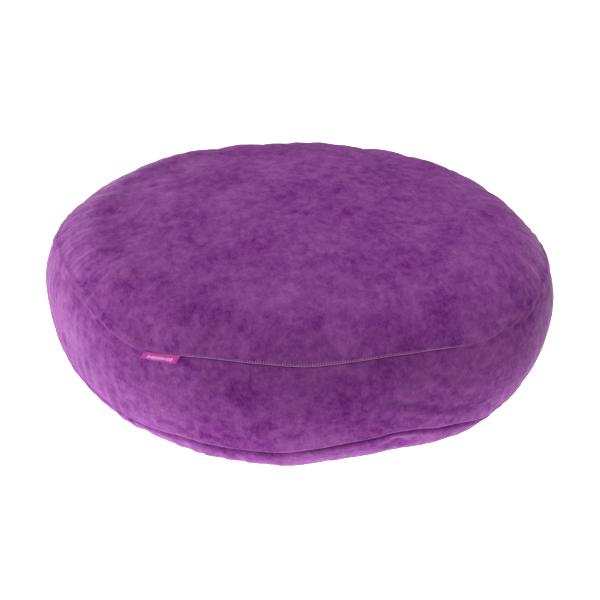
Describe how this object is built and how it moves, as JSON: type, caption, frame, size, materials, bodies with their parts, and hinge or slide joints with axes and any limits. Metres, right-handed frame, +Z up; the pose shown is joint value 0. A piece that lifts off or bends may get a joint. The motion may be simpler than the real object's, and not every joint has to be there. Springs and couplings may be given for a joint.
{
  "type": "wobble cushion",
  "caption": "Large round floor and balance cushion: domed plush cover with a bulging side band, rear zip and woven seam label over wadding and an air chamber.",
  "frame": {"origin": "centre of the flat foot, on the floor", "axes": "+Z up through the middle of the cushion, -Y towards the front, where the label is left of the middle, +Y towards the zip"},
  "size_m": [0.7, 0.7003, 0.251],
  "materials": {
    "plush": "purple velour with a short brushed nap",
    "thread": "spun polyester sewing thread",
    "zip_tape": "woven polyester tape",
    "zip_coil": "nylon coil",
    "zip_metal": "enamelled zinc, colour matched",
    "label": "woven polyester label",
    "wadding": "polyester fibre wadding",
    "chamber_film": "welded vinyl film",
    "valve_plastic": "moulded vinyl"
  },
  "bodies": {
    "cushion": {"top_panel": "plush", "bottom_panel": "plush", "front_band": "plush", "rear_band_upper": "plush", "rear_band_lower": "plush", "upper_seam_thread": "thread", "lower_seam_thread": "thread", "band_join_thread_left": "thread", "band_join_thread_right": "thread", "zip_stitching_upper": "thread", "zip_stitching_lower": "thread", "zip_tape_upper": "zip_tape", "zip_tape_lower": "zip_tape", "zip_coil_upper": "zip_coil", "zip_coil_lower": "zip_coil", "zip_top_stops": "zip_metal", "zip_bottom_stop": "zip_metal", "wadding_top": "wadding", "wadding_side": "wadding", "wadding_bottom": "wadding", "bladder_top": "chamber_film", "bladder_side": "chamber_film", "bladder_bottom": "chamber_film", "valve_body": "valve_plastic", "tension_web_1": "chamber_film", "tension_web_2": "chamber_film", "tension_web_3": "chamber_film", "tension_web_4": "chamber_film", "tension_web_5": "chamber_film", "tension_web_6": "chamber_film", "tension_web_7": "chamber_film", "tension_web_8": "chamber_film"},
    "slider": {"zip_slider": "zip_metal"},
    "pull": {"zip_pull": "zip_metal"},
    "label": {"seam_label": "label"},
    "plug": {"valve_plug": "valve_plastic"}
  },
  "joints": [
    {"name": "zip_slide", "type": "hinge", "parent": "cushion", "child": "slider", "pos_m": [0, 0, 0.12], "axis": [0, 0, 1], "range_deg": [-140, 0]},
    {"name": "pull_turn", "type": "hinge", "parent": "slider", "child": "pull", "pos_m": [-0.33058, 0.12032, 0.12], "axis": [0, 0, 1], "range_deg": [0, 165]},
    {"name": "label_flip", "type": "hinge", "parent": "cushion", "child": "label", "pos_m": [-0.16961, -0.29979, 0.16646], "axis": [-0.8704, 0.4924, 0], "range_deg": [0, 150]},
    {"name": "plug_pull", "type": "slide", "parent": "cushion", "child": "plug", "axis": [0, 1, 0], "range_m": [0, 0.007]}
  ]
}
